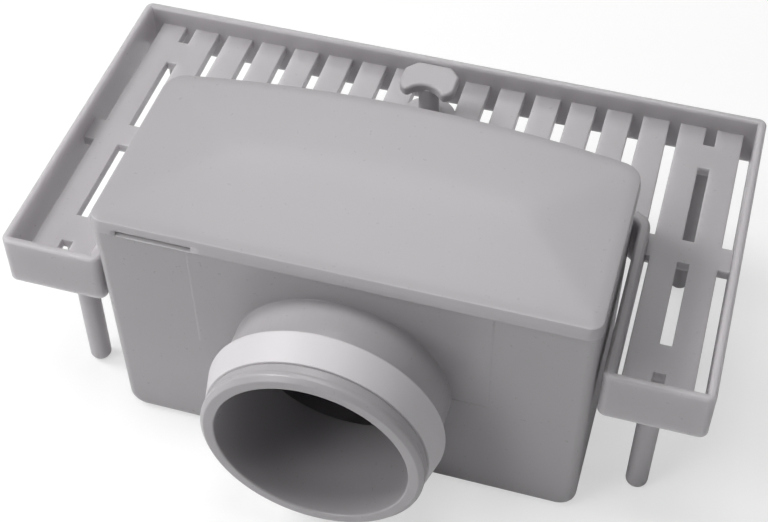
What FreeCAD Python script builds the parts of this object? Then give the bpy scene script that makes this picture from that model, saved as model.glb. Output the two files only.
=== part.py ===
import FreeCAD, Part
import os
import Sketcher

# Shower trap: a slotted grate frame standing on four pegs around a deep trap box with a lid,
# an outlet spigot with a seal ring and a knob to lift the frame by.
# Millimetres. X runs along the frame, +Y to the back, +Z up. The origin lies on the standing
# plane, under the middle of the box floor. Each moulding is drawn from the front faces of the
# frame arms, and its placement moves it to the origin.

# Place
ORIGIN_SETBACK = 16  # front faces of the frame arms to the origin, along Y

# Grate frame
FRAME_WIDTH = 160  # frame, overall along X
FRAME_DEPTH = 88  # frame, overall along Y
RIM_LEVEL = 51  # top of the frame rim above the standing plane
FRAME_HEIGHT = 13.2  # frame walls, top to bottom
FRAME_WALL = 2  # frame walls, thickness
OPENING_WALL = 2.6  # frame wall round the opening for the box, thickness
FRAME_CORNER = 2  # frame outer corners, radius
RIM_BEVEL = 0.5  # upper edges of the frame rim, width of the bevel
FLOOR_DROP = 4.7  # slotted floor below the rim
FLOOR_THICKNESS = 2.6  # slotted floor, thickness
SIDE_GAP = 0.8  # gap between box and frame at the sides
REAR_GAP = 2  # gap between box and frame at the back
OPENING_CORNER = 3  # back corners of the frame opening, radius

# Slots
SLOT_PITCH = 9  # slot columns, spacing
SLOT_WIDTH = 2.7  # slots, width
ROW_COLUMNS = 12  # slot columns behind the box
ROW_SLOT_LENGTH = 28  # slots behind the box, length
END_SLOT_LENGTH = 6  # short slots at the arm ends, length
PEG_BAR = 8  # solid bar that carries a peg, along Y
MIDDLE_BAR = 7  # solid bar across the middle of an arm, along Y

# Pegs
PEG_DIAMETER = 5.2  # pegs, diameter
PEG_BEVEL = 1.2  # lower ends of the pegs, width of the bevel

# Trap box
BOX_WIDTH = 110  # box, along X
BOX_SIDE_DEPTH = 46.8  # box, front edge to back corners, along Y
BACK_BOW = 5.2  # how far the back wall bows out between its corners
BOX_HEIGHT = 65.2  # box, standing plane to the seat of the lid
BOX_WALL = 2  # box walls and floor, thickness
FRONT_LEAN = 2.4  # how far the front wall leans out at the top
FOOT_ROUNDING = 4.4  # lower side edges of the box, radius
FRONT_ROUNDING = 2.4  # edges round the front face of the box, radius
REAR_ROUNDING = 4  # edges round the back face of the box, radius
REAR_CHAMBER_DEPTH = 10.6  # weir to the back corners of the box, inside
WEIR_HEIGHT = 40  # top of the weir above the standing plane
WEIR_WALL = 1.8  # weir wall, thickness
INLET_HEIGHT = 8  # inlet under the back wall, height
INLET_INSET = 13  # box side face to the inlet
PANEL_WIDTH = 67  # sunk panel in the front wall, width
PANEL_FOOT = 33  # lower edge of the sunk panel above the standing plane
PANEL_DEPTH = 0.35  # sunk panel, depth

# Outlet spigot and seal ring
OUTLET_HEIGHT = 33  # outlet axis above the standing plane
OUTLET_REACH = 24  # outlet mouth in front of the frame arms
OUTLET_DIAMETER = 50  # outlet spigot, outside
OUTLET_BORE = 43.2  # outlet spigot, bore
MOUTH_BEVEL = 1  # outer edge of the mouth, width of the lead-in bevel
BEAD_LENGTH = 2.4  # bead at the mouth, length
BEAD_SLOPE = 0.6  # slanted back flank of the bead, length
NECK_RELIEF = 0.3  # neck between bead and seal groove, step in radius
NECK_LENGTH = 1.9  # neck between bead and seal groove, length
GROOVE_LENGTH = 7.3  # seal groove, length
GROOVE_DEPTH = 1.6  # seal groove, depth
SEAL_DIAMETER = 54  # seal ring, outside at its back lip
SEAL_FRONT_DIAMETER = 50.4  # seal ring, outside at its front edge
SEAL_FIT = 0.05  # clearance between seal ring and groove, each side
SEAL_BEVEL = 0.3  # back lip of the seal ring, width of the bevel

# Lid
LID_OVERHANG = 0.6  # lid beyond the box walls
LID_EDGE = 3.2  # lid, thickness at its edge
LID_ROUNDING = 1  # upper edge of the lid, radius
LID_FRONT_CORNER = 3.6  # lid front corners, radius
LID_REAR_CORNER = 5.6  # lid back corners, radius
CROWN_RISE = 1.4  # rise of the lid to its middle
CROWN_BORDER = 3  # flat border round the hipped crown
RIDGE_SIDE_INSET = 18.6  # crown side edge to the end of its top
RIDGE_FRONT_INSET = 22  # crown front edge to its top
RIDGE_BACK_INSET = 20  # crown back edge to the back edge of its top
SKIRT_DEPTH = 3  # locating skirt under the lid, depth
SKIRT_WALL = 1.6  # locating skirt, thickness
SKIRT_GAP = 0.3  # clearance between skirt and box walls
SKIRT_CORNER = 2.6  # back corners of the skirt, radius
LEVER_INSET = 7  # lid side face to the lever slot in the front edge
LEVER_LENGTH = 17  # lever slot, length
LEVER_HEIGHT = 0.7  # lever slot, height
LEVER_RISE = 1.1  # underside of the lid edge to the lever slot
LEVER_DEPTH = 4  # lever slot, depth
LEVER_BEVEL = 0.8  # lower edge of the lever slot, width of the bevel

# Lifting knob
KNOB_OFFSET = 0.5  # knob stem before the middle of the back slots
KNOB_RISE = 7  # top of the knob above the rim
KNOB_THICKNESS = 2.4  # knob head, thickness
KNOB_LENGTH = 13.6  # knob head, along X
KNOB_BACK_LENGTH = 8.4  # straight back edge of the knob head
KNOB_BACK = 5.5  # stem axis to the back edge of the head
KNOB_SLANT = 2.9  # slanted back corners of the head, along Y
KNOB_FRONT = 5  # stem axis to the front lobes of the head
LOBE_ROUNDING = 3.2  # front lobes of the head, radius
BITE_RADIUS = 3.8  # finger bite in the front of the head, radius
BITE_DISTANCE = 6  # stem axis to the centre of the finger bite
BITE_ROUNDING = 0.9  # corners between the bite and the lobes, radius
KNOB_BEVEL = 0.6  # upper edges of the head, width of the bevel
STEM_DIAMETER = 5  # knob stem, diameter
STEM_FIT = 0.05  # clearance round the stem in its hole
COLLAR_DIAMETER = 6.8  # collar on the stem, diameter
COLLAR_HEIGHT = 1.2  # collar on the stem, height
FOOT_DIAMETER = 6.4  # snap foot under the bar, diameter
FOOT_HEIGHT = 1.6  # snap foot, height
FOOT_POINT_DIAMETER = 4.4  # snap foot, diameter at its lower end
FOOT_PLAY = 0.05  # clearance between the bar and the snap foot
SLIT_WIDTH = 1.2  # slit that lets the snap foot spring, width
SLIT_HEIGHT = 3.6  # slit that lets the snap foot spring, height
BOSS_DIAMETER = 13.4  # round boss in the slotted floor that carries the knob, diameter

os.makedirs("parts", exist_ok=True)
doc = FreeCAD.newDocument("shower_trap")
sheet = doc.addObject("Spreadsheet::Sheet", "sizes")
next_row = 1


def set_size(name, content, note=""):
    """Writes one named size into the sheet; a content starting with = is worked out from others."""
    global next_row
    cell = "B%d" % next_row
    sheet.set("A%d" % next_row, name)
    sheet.set(cell, str(content))
    sheet.setAlias(cell, name)
    sheet.set("C%d" % next_row, note)
    next_row += 1


# The settable sizes above
for name, value in (
    ("origin_setback", ORIGIN_SETBACK), ("frame_width", FRAME_WIDTH), ("frame_depth", FRAME_DEPTH),
    ("rim_level", RIM_LEVEL), ("frame_height", FRAME_HEIGHT), ("frame_wall", FRAME_WALL),
    ("opening_wall", OPENING_WALL), ("frame_corner", FRAME_CORNER), ("rim_bevel", RIM_BEVEL),
    ("floor_drop", FLOOR_DROP), ("floor_thickness", FLOOR_THICKNESS), ("side_gap", SIDE_GAP),
    ("rear_gap", REAR_GAP), ("opening_corner", OPENING_CORNER), ("slot_pitch", SLOT_PITCH),
    ("slot_width", SLOT_WIDTH), ("row_columns", ROW_COLUMNS), ("row_slot_length", ROW_SLOT_LENGTH),
    ("end_slot_length", END_SLOT_LENGTH), ("peg_bar", PEG_BAR), ("middle_bar", MIDDLE_BAR),
    ("peg_diameter", PEG_DIAMETER), ("peg_bevel", PEG_BEVEL), ("box_width", BOX_WIDTH),
    ("box_side_depth", BOX_SIDE_DEPTH), ("back_bow", BACK_BOW), ("box_height", BOX_HEIGHT),
    ("box_wall", BOX_WALL), ("front_lean", FRONT_LEAN), ("foot_rounding", FOOT_ROUNDING),
    ("front_rounding", FRONT_ROUNDING), ("rear_rounding", REAR_ROUNDING),
    ("rear_chamber_depth", REAR_CHAMBER_DEPTH), ("weir_height", WEIR_HEIGHT), ("weir_wall", WEIR_WALL),
    ("inlet_height", INLET_HEIGHT), ("inlet_inset", INLET_INSET), ("panel_width", PANEL_WIDTH),
    ("panel_foot", PANEL_FOOT), ("panel_depth", PANEL_DEPTH), ("outlet_height", OUTLET_HEIGHT),
    ("outlet_reach", OUTLET_REACH), ("outlet_diameter", OUTLET_DIAMETER), ("outlet_bore", OUTLET_BORE),
    ("mouth_bevel", MOUTH_BEVEL), ("bead_length", BEAD_LENGTH), ("bead_slope", BEAD_SLOPE),
    ("neck_relief", NECK_RELIEF), ("neck_length", NECK_LENGTH), ("groove_length", GROOVE_LENGTH),
    ("groove_depth", GROOVE_DEPTH), ("seal_diameter", SEAL_DIAMETER),
    ("seal_front_diameter", SEAL_FRONT_DIAMETER), ("seal_fit", SEAL_FIT), ("seal_bevel", SEAL_BEVEL),
    ("lid_overhang", LID_OVERHANG), ("lid_edge", LID_EDGE), ("lid_rounding", LID_ROUNDING),
    ("lid_front_corner", LID_FRONT_CORNER), ("lid_rear_corner", LID_REAR_CORNER),
    ("crown_rise", CROWN_RISE), ("crown_border", CROWN_BORDER), ("ridge_side_inset", RIDGE_SIDE_INSET),
    ("ridge_front_inset", RIDGE_FRONT_INSET), ("ridge_back_inset", RIDGE_BACK_INSET),
    ("skirt_depth", SKIRT_DEPTH), ("skirt_wall", SKIRT_WALL), ("skirt_gap", SKIRT_GAP),
    ("skirt_corner", SKIRT_CORNER), ("lever_inset", LEVER_INSET), ("lever_length", LEVER_LENGTH),
    ("lever_height", LEVER_HEIGHT), ("lever_rise", LEVER_RISE), ("lever_depth", LEVER_DEPTH),
    ("lever_bevel", LEVER_BEVEL), ("knob_offset", KNOB_OFFSET), ("knob_rise", KNOB_RISE),
    ("knob_thickness", KNOB_THICKNESS),
    ("knob_length", KNOB_LENGTH), ("knob_back_length", KNOB_BACK_LENGTH), ("knob_back", KNOB_BACK),
    ("knob_slant", KNOB_SLANT), ("knob_front", KNOB_FRONT), ("lobe_rounding", LOBE_ROUNDING),
    ("bite_radius", BITE_RADIUS), ("bite_distance", BITE_DISTANCE), ("bite_rounding", BITE_ROUNDING),
    ("knob_bevel", KNOB_BEVEL), ("stem_diameter", STEM_DIAMETER), ("stem_fit", STEM_FIT),
    ("collar_diameter", COLLAR_DIAMETER), ("collar_height", COLLAR_HEIGHT),
    ("foot_diameter", FOOT_DIAMETER), ("foot_height", FOOT_HEIGHT),
    ("foot_point_diameter", FOOT_POINT_DIAMETER), ("foot_play", FOOT_PLAY), ("slit_width", SLIT_WIDTH),
    ("slit_height", SLIT_HEIGHT), ("boss_diameter", BOSS_DIAMETER)):
    set_size(name, value)

# Frame sizes worked out from them
set_size("frame_half", "=frame_width / 2", "frame side face")
set_size("tray_half", "=frame_half - frame_wall", "inside of the outer side wall")
set_size("tray_back", "=frame_depth - frame_wall", "inside of the outer back wall")
set_size("box_half", "=box_width / 2", "box side face")
set_size("box_corner_back", "=box_side_depth - front_lean", "box back corners, along Y")
set_size("opening_half", "=box_half + side_gap", "frame opening, side face")
set_size("opening_back", "=box_corner_back + rear_gap", "frame opening, back corners")
set_size("opening_bow", "=(opening_half ^ 2 + back_bow ^ 2) / (2 * back_bow)", "curve of its back, radius")
set_size("inner_half", "=opening_half + opening_wall", "tray side of the wall round the opening")
set_size("inner_back", "=opening_back + opening_wall", "its back corners, along Y")
set_size("inner_bow", "=(inner_half ^ 2 + back_bow ^ 2) / (2 * back_bow)", "curve of its back, radius")
set_size("inner_corner", "=opening_corner + opening_wall", "its back corners, radius")
set_size("frame_foot", "=rim_level - frame_height", "underside of the frame walls")
set_size("floor_top", "=rim_level - floor_drop", "slotted floor, top")
set_size("floor_under", "=floor_top - floor_thickness", "slotted floor, underside")
set_size("floor_half", "=frame_half - frame_wall / 2", "floor edge inside the outer side wall")
set_size("floor_front", "=frame_wall / 2", "floor edge inside the front walls")
set_size("floor_back", "=frame_depth - frame_wall / 2", "floor edge inside the outer back wall")
set_size("floor_inner_half", "=opening_half + opening_wall / 4", "floor edge inside the opening wall")
set_size("floor_inner_back", "=opening_back + opening_wall / 4", "its back corners, along Y")
set_size("floor_bow", "=(floor_inner_half ^ 2 + back_bow ^ 2) / (2 * back_bow)", "its curve, radius")

# Slot and peg places
set_size("row_front", "=tray_back - row_slot_length", "front ends of the slots behind the box")
set_size("row_length", "=(row_columns - 1) * slot_pitch", "first to last slot behind the box")
set_size("row_outer_edge", "=(row_length + slot_width) / 2", "outer edge of the outermost of them")
set_size("row_inner_edge", "=(row_length - slot_width) / 2", "inner edge of the outermost of them")
set_size("wall_slot_in", "=tray_half - slot_width", "arm slots along the outer wall, inner edge")
set_size("peg_slot_out", "=tray_half - slot_pitch", "arm slots in line with the pegs, outer edge")
set_size("peg_slot_in", "=peg_slot_out - slot_width", "arm slots in line with the pegs, inner edge")
set_size("box_slot_out", "=peg_slot_out - slot_pitch", "arm slots beside the box, outer edge")
set_size("box_slot_in", "=peg_slot_in - slot_pitch", "arm slots beside the box, inner edge")
set_size("front_end_slot", "=frame_wall + end_slot_length", "front short slots, back end")
set_size("front_bar_back", "=front_end_slot + peg_bar", "front peg bar, back edge")
set_size("middle_bar_front", "=(frame_depth - middle_bar) / 2", "middle bar, front edge")
set_size("middle_bar_back", "=(frame_depth + middle_bar) / 2", "middle bar, back edge")
set_size("rear_end_slot", "=tray_back - end_slot_length", "back short slots, front end")
set_size("rear_bar_front", "=rear_end_slot - peg_bar", "back peg bar, front edge")
set_size("peg_side", "=(peg_slot_in + peg_slot_out) / 2", "pegs, middle along X")
set_size("front_peg", "=front_end_slot + peg_bar / 2", "front pegs, middle along Y")
set_size("rear_peg", "=rear_end_slot - peg_bar / 2", "back pegs, middle along Y")
set_size("peg_radius", "=peg_diameter / 2", "pegs, radius")

# Box places
set_size("box_bow", "=(box_half ^ 2 + back_bow ^ 2) / (2 * back_bow)", "curve of the back wall, radius")
set_size("panel_foot_lean", "=front_lean * panel_foot / box_height", "wall lean at the panel foot")
set_size("panel_top_face", "=front_lean - panel_depth", "sunk panel, face at the top")
set_size("panel_foot_face", "=panel_foot_lean - panel_depth", "sunk panel, face at the foot")
set_size("panel_cut", "=front_lean + panel_depth", "cut of the sunk panel, before the wall")
set_size("cavity_half", "=box_half - box_wall", "inside of the box, side")
set_size("cavity_back", "=box_corner_back - box_wall", "inside of the box, back corners")
set_size("weir_back", "=cavity_back - rear_chamber_depth", "weir, back face")
set_size("weir_front", "=weir_back - weir_wall", "weir, front face")
set_size("weir_half", "=box_half - box_wall / 2", "weir, run into the side walls")
set_size("rear_chamber_half", "=box_half - foot_rounding", "open foot of the rear chamber, side edge")
set_size("inlet_half", "=box_half - inlet_inset", "inlet, side edge")
set_size("front_cut", "=2 * (front_lean + box_wall)", "cut through the front wall")

# Spigot and seal places
set_size("outlet_radius", "=outlet_diameter / 2", "outlet spigot, radius")
set_size("bore_radius", "=outlet_bore / 2", "outlet bore, radius")
set_size("neck_radius", "=outlet_radius - neck_relief", "neck behind the bead, radius")
set_size("bead_back", "=outlet_reach - bead_length", "bead, back edge")
set_size("bead_crest", "=bead_back + bead_slope", "bead, back end of its crest")
set_size("groove_front", "=bead_back - neck_length", "seal groove, front edge")
set_size("groove_back", "=groove_front - groove_length", "seal groove, back edge")
set_size("groove_radius", "=outlet_radius - groove_depth", "floor of the seal groove, radius")
set_size("root_inside", "=box_wall / 2", "spigot root, buried in the front wall")
set_size("seal_bore", "=groove_radius + seal_fit", "seal ring, inside radius")
set_size("seal_front", "=groove_front - seal_fit", "seal ring, front face")
set_size("seal_back", "=groove_back + seal_fit", "seal ring, back face")
set_size("seal_radius", "=seal_diameter / 2", "seal ring, radius at the back lip")
set_size("seal_front_radius", "=seal_front_diameter / 2", "seal ring, radius at the front edge")

# Lid places
set_size("lid_half", "=box_half + lid_overhang", "lid, side face")
set_size("lid_front", "=front_lean + lid_overhang", "lid, front face")
set_size("lid_back", "=box_corner_back + lid_overhang", "lid, back corners")
set_size("lid_bow", "=(lid_half ^ 2 + back_bow ^ 2) / (2 * back_bow)", "curve of its back, radius")
set_size("lid_top", "=box_height + lid_edge", "lid, top of the edge")
set_size("crown_half", "=lid_half - crown_border", "crown, side edge")
set_size("crown_front", "=crown_border - lid_front", "crown, front edge")
set_size("crown_back", "=lid_back - crown_border", "crown, back corners")
set_size("crown_bow", "=(crown_half ^ 2 + back_bow ^ 2) / (2 * back_bow)", "curve of its back, radius")
set_size("crown_top", "=lid_top + crown_rise", "crown, top")
set_size("ridge_half", "=crown_half - ridge_side_inset", "top of the crown, its ends")
set_size("ridge_front", "=crown_front + ridge_front_inset", "top of the crown, its front edge")
set_size("ridge_bow", "=crown_bow - ridge_back_inset", "curve of its back edge, radius")
set_size("crown_bow_centre", "=crown_back + back_bow - crown_bow", "centre of both curves, along Y")
set_size("lid_width", "=2 * lid_half", "lid, overall along X")
set_size("side_slope_cut", "=2 * (lid_back + back_bow)", "cut of the side slopes, along Y")
set_size("lever_outer_end", "=lid_half - lever_inset", "lever slot, outer end")
set_size("lever_inner_end", "=lever_outer_end - lever_length", "lever slot, inner end")
set_size("lever_foot", "=box_height + lever_rise", "lever slot, lower edge")
set_size("lever_head", "=lever_foot + lever_height", "lever slot, upper edge")
set_size("skirt_foot", "=box_height - skirt_depth", "skirt, lower edge")
set_size("skirt_half", "=cavity_half - skirt_gap", "skirt, side face")
set_size("skirt_front", "=box_wall - front_lean + skirt_gap", "skirt, front face")
set_size("skirt_back", "=cavity_back - skirt_gap", "skirt, back corners")
set_size("skirt_bow", "=(skirt_half ^ 2 + back_bow ^ 2) / (2 * back_bow)", "curve of its back, radius")
set_size("skirt_in_half", "=skirt_half - skirt_wall", "skirt, inside of its sides")
set_size("skirt_in_front", "=skirt_front + skirt_wall", "skirt, inside of its front")
set_size("skirt_in_back", "=skirt_back - skirt_wall", "skirt, inside of its back corners")
set_size("skirt_in_bow", "=(skirt_in_half ^ 2 + back_bow ^ 2) / (2 * back_bow)", "curve inside, radius")

# Knob places
set_size("knob_distance", "=(row_front + tray_back) / 2 - knob_offset", "knob stem, along Y")
set_size("knob_top", "=rim_level + knob_rise", "knob, top")
set_size("knob_under", "=knob_top - knob_thickness", "knob head, underside")
set_size("knob_half", "=knob_length / 2", "knob head, its ends")
set_size("knob_back_half", "=knob_back_length / 2", "back edge of the head, its ends")
set_size("knob_slant_front", "=knob_back - knob_slant", "front ends of the slanted corners")
set_size("knob_front_line", "=knob_distance - knob_front", "front lobes of the head, along Y")
set_size("stem_radius", "=stem_diameter / 2", "knob stem, radius")
set_size("stem_top", "=knob_under + knob_thickness / 2", "stem, upper end inside the head")
set_size("stem_hole", "=stem_radius + stem_fit", "hole for the stem, radius")
set_size("collar_radius", "=collar_diameter / 2", "collar, radius")
set_size("collar_top", "=floor_top + collar_height", "collar, top")
set_size("foot_radius", "=foot_diameter / 2", "snap foot, radius")
set_size("foot_top", "=floor_under - foot_play", "snap foot, upper face")
set_size("foot_under", "=foot_top - foot_height", "snap foot, underside")
set_size("foot_point", "=foot_point_diameter / 2", "snap foot, radius at its lower end")
set_size("slit_half", "=slit_width / 2", "slit, side face")
set_size("slit_top", "=foot_under + slit_height", "slit, upper end")
set_size("boss_radius", "=boss_diameter / 2", "boss that carries the knob, radius")
set_size("slit_cut", "=2 * foot_diameter", "cut of the slit, across the foot")
doc.recompute()


def number(name):
    """Value of a size; a leading minus sign turns it to the other side of the origin."""
    if name == "zero":
        return 0.0
    if name.startswith("-"):
        return -float(sheet.get(name[1:]))
    return float(sheet.get(name))


def bound(name):
    """Expression that follows a size of the sheet."""
    return "-sizes." + name[1:] if name.startswith("-") else "sizes." + name


def new_body(name):
    """Starts one moulding."""
    body = doc.addObject("PartDesign::Body", name)
    body.Label = name
    return body


def origin_plane(body, role):
    """The body's own origin plane with the given role."""
    return next(item for item in body.Origin.OriginFeatures if item.Role == role)


def new_sketch(body, name, role, along="zero", up="zero", out="zero"):
    """Opens a sketch on an origin plane, shifted by named sizes: along or up in it, or out of it."""
    sketch = body.newObject("Sketcher::SketchObject", name)
    sketch.AttachmentSupport = [(origin_plane(body, role), "")]
    sketch.MapMode = "FlatFace"
    shift = FreeCAD.Vector(number(along), number(up), number(out))
    sketch.AttachmentOffset = FreeCAD.Placement(shift, FreeCAD.Rotation())
    for axis, name in (("x", along), ("y", up), ("z", out)):
        if name != "zero":
            sketch.setExpression("AttachmentOffset.Base." + axis, bound(name))
    return sketch


def hold(sketch, direction, curve, point, name):
    """Dimensions one coordinate of a sketch point from the sketch origin."""
    if name == "zero":
        axis = -2 if direction == "DistanceX" else -1
        sketch.addConstraint(Sketcher.Constraint("PointOnObject", curve, point, axis))
        return
    ends = (curve, point, -1, 1) if name.startswith("-") else (-1, 1, curve, point)
    index = sketch.addConstraint(Sketcher.Constraint(direction, *ends, abs(number(name))))
    sketch.setExpression("Constraints[%d]" % index, "sizes." + name.lstrip("-"))


def draw_side(sketch, start, end, radius):
    """Draws one side of an outline, straight or bowed towards the back by a radius."""
    if not radius:
        return sketch.addGeometry(Part.LineSegment(start, end), False)
    half_side = (start - end).Length / 2
    rise = radius - (radius ** 2 - half_side ** 2) ** 0.5
    crest = (start + end) / 2 + FreeCAD.Vector(0, rise, 0)
    return sketch.addGeometry(Part.Arc(start, crest, end), False)


def outline(sketch, *corners):
    """Draws a closed outline through named corners; a third name is the bow radius of the side after."""
    bows = {i: corner[2] for i, corner in enumerate(corners) if len(corner) > 2}
    points = [FreeCAD.Vector(number(corner[0]), number(corner[1]), 0) for corner in corners]
    following = [(i + 1) % len(points) for i in range(len(points))]
    curves = []
    ends = []
    for i, point in enumerate(points):
        end = points[following[i]]
        curves.append(draw_side(sketch, point, end, number(bows[i]) if i in bows else 0))
        runs_backwards = i in bows and point.x < end.x
        ends.append((2, 1) if runs_backwards else (1, 2))
    for i, after in enumerate(following):
        sketch.addConstraint(
            Sketcher.Constraint("Coincident", curves[i], ends[i][1], curves[after], ends[after][0]))
    for i, corner in enumerate(corners):
        before = corners[i - 1]
        straight = i > 0 and (i - 1) not in bows
        if straight and before[0] == corner[0]:
            sketch.addConstraint(Sketcher.Constraint("Vertical", curves[i - 1]))
        else:
            hold(sketch, "DistanceX", curves[i], ends[i][0], corner[0])
        if straight and before[1] == corner[1]:
            sketch.addConstraint(Sketcher.Constraint("Horizontal", curves[i - 1]))
        else:
            hold(sketch, "DistanceY", curves[i], ends[i][0], corner[1])
    for i, radius in bows.items():
        index = sketch.addConstraint(Sketcher.Constraint("Radius", curves[i], number(radius)))
        sketch.setExpression("Constraints[%d]" % index, bound(radius))


def rectangle(sketch, left, right, low, high):
    """Draws a rectangle between four named coordinates."""
    outline(sketch, (left, low), (right, low), (right, high), (left, high))


def circle(sketch, x, y, radius):
    """Draws a circle with a named centre and radius."""
    centre = FreeCAD.Vector(number(x), number(y), 0)
    curve = sketch.addGeometry(Part.Circle(centre, FreeCAD.Vector(0, 0, 1), number(radius)), False)
    hold(sketch, "DistanceX", curve, 3, x)
    hold(sketch, "DistanceY", curve, 3, y)
    index = sketch.addConstraint(Sketcher.Constraint("Radius", curve, number(radius)))
    sketch.setExpression("Constraints[%d]" % index, bound(radius))


def extrude(body, kind, name, sketch, length, reverse=False, both_ways=False):
    """Pads or pockets a sketch by a named length."""
    feature = body.newObject("PartDesign::" + kind, name)
    feature.Profile = sketch
    feature.Type = 0
    feature.Length = number(length)
    feature.setExpression("Length", bound(length))
    feature.Reversed = reverse
    feature.Midplane = both_ways
    sketch.Visibility = False
    doc.recompute()
    return feature


def revolve(body, name, sketch, axis, kind="Revolution"):
    """Turns a sketch once round one of its own axes, adding or cutting."""
    feature = body.newObject("PartDesign::" + kind, name)
    feature.Profile = sketch
    feature.ReferenceAxis = (sketch, [axis])
    feature.Angle = 360
    sketch.Visibility = False
    doc.recompute()
    return feature


def pick_edges(body, kind, name, wanted):
    """Adds a fillet or chamfer on the edges whose middle point and course are wanted."""
    base = body.Tip
    names = []
    for i, edge in enumerate(base.Shape.Edges):
        middle = edge.valueAt((edge.FirstParameter + edge.LastParameter) / 2)
        if wanted(middle, edge):
            names.append("Edge%d" % (i + 1))
    feature = body.newObject("PartDesign::" + kind, name)
    feature.Base = (base, names)
    return feature


def round_edges(body, name, wanted, radius):
    """Rounds the wanted edges by a named radius."""
    pick_edges(body, "Fillet", name, wanted).setExpression("Radius", bound(radius))
    doc.recompute()


def bevel_edges(body, name, wanted, width):
    """Bevels the wanted edges by a named width."""
    pick_edges(body, "Chamfer", name, wanted).setExpression("Size", bound(width))
    doc.recompute()


def near(a, b, slack=0.02):
    """True where two coordinates meet."""
    return abs(a - b) < slack


def at_corner(point, half, along):
    """True where a point lies over a named corner, on either side of the middle."""
    return near(abs(point.x), number(half)) and near(point.y, number(along))


def upright(edge):
    """True for an edge that runs straight up."""
    reach = edge.BoundBox
    return near(reach.XLength, 0) and near(reach.YLength, 0) and not near(reach.ZLength, 0)


def level(edge, height):
    """True for an edge that lies at a named height."""
    reach = edge.BoundBox
    return near(reach.ZMin, number(height)) and near(reach.ZMax, number(height))


def round_outlet(point, edge, distance, diameter):
    """True for a circle round the outlet axis, at a named distance before the arms."""
    return near(point.y, -number(distance)) and near(edge.BoundBox.XLength, number(diameter))


# Walls of the grate frame: one ring round the tray, bent in around the box
walls = new_body("frame_walls")
wall_plan = new_sketch(walls, "wall_plan", "XY_Plane", out="frame_foot")
outline(
    wall_plan,
    ("-frame_half", "zero"), ("-opening_half", "zero"), ("-opening_half", "opening_back", "opening_bow"),
    ("opening_half", "opening_back"), ("opening_half", "zero"), ("frame_half", "zero"),
    ("frame_half", "frame_depth"), ("-frame_half", "frame_depth"))
outline(
    wall_plan,
    ("-tray_half", "frame_wall"), ("-inner_half", "frame_wall"), ("-inner_half", "inner_back", "inner_bow"),
    ("inner_half", "inner_back"), ("inner_half", "frame_wall"), ("tray_half", "frame_wall"),
    ("tray_half", "tray_back"), ("-tray_half", "tray_back"))
extrude(walls, "Pad", "wall_ring", wall_plan, "frame_height")
round_edges(
    walls, "opening_back_corners",
    lambda p, e: upright(e) and at_corner(p, "opening_half", "opening_back"), "opening_corner")
round_edges(
    walls, "inner_wall_corners",
    lambda p, e: upright(e) and at_corner(p, "inner_half", "inner_back"), "inner_corner")
round_edges(
    walls, "outer_corners",
    lambda p, e: upright(e) and (
        near(abs(p.x), number("frame_half")) or at_corner(p, "opening_half", "zero")), "frame_corner")
bevel_edges(walls, "rim_edges", lambda p, e: level(e, "rim_level"), "rim_bevel")

# Grate frame: slotted floor with four pegs, joined to its walls
frame = new_body("grate_frame")
floor_plan = new_sketch(frame, "floor_plan", "XY_Plane", out="floor_under")
outline(
    floor_plan,
    ("-floor_half", "floor_front"), ("-floor_inner_half", "floor_front"),
    ("-floor_inner_half", "floor_inner_back", "floor_bow"), ("floor_inner_half", "floor_inner_back"),
    ("floor_inner_half", "floor_front"), ("floor_half", "floor_front"),
    ("floor_half", "floor_back"), ("-floor_half", "floor_back"))
extrude(frame, "Pad", "floor_plate", floor_plan, "floor_thickness")

row_slot = new_sketch(frame, "row_slot", "XY_Plane", out="floor_under")
rectangle(row_slot, "-row_outer_edge", "-row_inner_edge", "row_front", "tray_back")
first_slot = extrude(frame, "Pocket", "first_row_slot", row_slot, "floor_thickness", reverse=True)
row = frame.newObject("PartDesign::LinearPattern", "row_of_slots")
row.Originals = [first_slot]
row.Direction = (row_slot, ["H_Axis"])
row.setExpression("Length", bound("row_length"))
row.setExpression("Occurrences", bound("row_columns"))
frame.Tip = row
doc.recompute()

boss_plan = new_sketch(frame, "boss_plan", "XY_Plane", out="floor_under")
circle(boss_plan, "zero", "knob_distance", "boss_radius")
extrude(frame, "Pad", "knob_boss", boss_plan, "floor_thickness")

arm_slots = new_sketch(frame, "arm_slots", "XY_Plane", out="floor_under")
for inner_edge, outer_edge in (("box_slot_in", "box_slot_out"), ("wall_slot_in", "tray_half")):
    rectangle(arm_slots, inner_edge, outer_edge, "frame_wall", "middle_bar_front")
    rectangle(arm_slots, inner_edge, outer_edge, "middle_bar_back", "tray_back")
for front_end, back_end in (
        ("frame_wall", "front_end_slot"), ("front_bar_back", "middle_bar_front"),
        ("middle_bar_back", "rear_bar_front"), ("rear_end_slot", "tray_back")):
    rectangle(arm_slots, "peg_slot_in", "peg_slot_out", front_end, back_end)
right_arm = extrude(frame, "Pocket", "right_arm_slots", arm_slots, "floor_thickness", reverse=True)
both_arms = frame.newObject("PartDesign::Mirrored", "left_arm_slots")
both_arms.Originals = [right_arm]
both_arms.MirrorPlane = (origin_plane(frame, "YZ_Plane"), [""])
frame.Tip = both_arms
doc.recompute()

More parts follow.
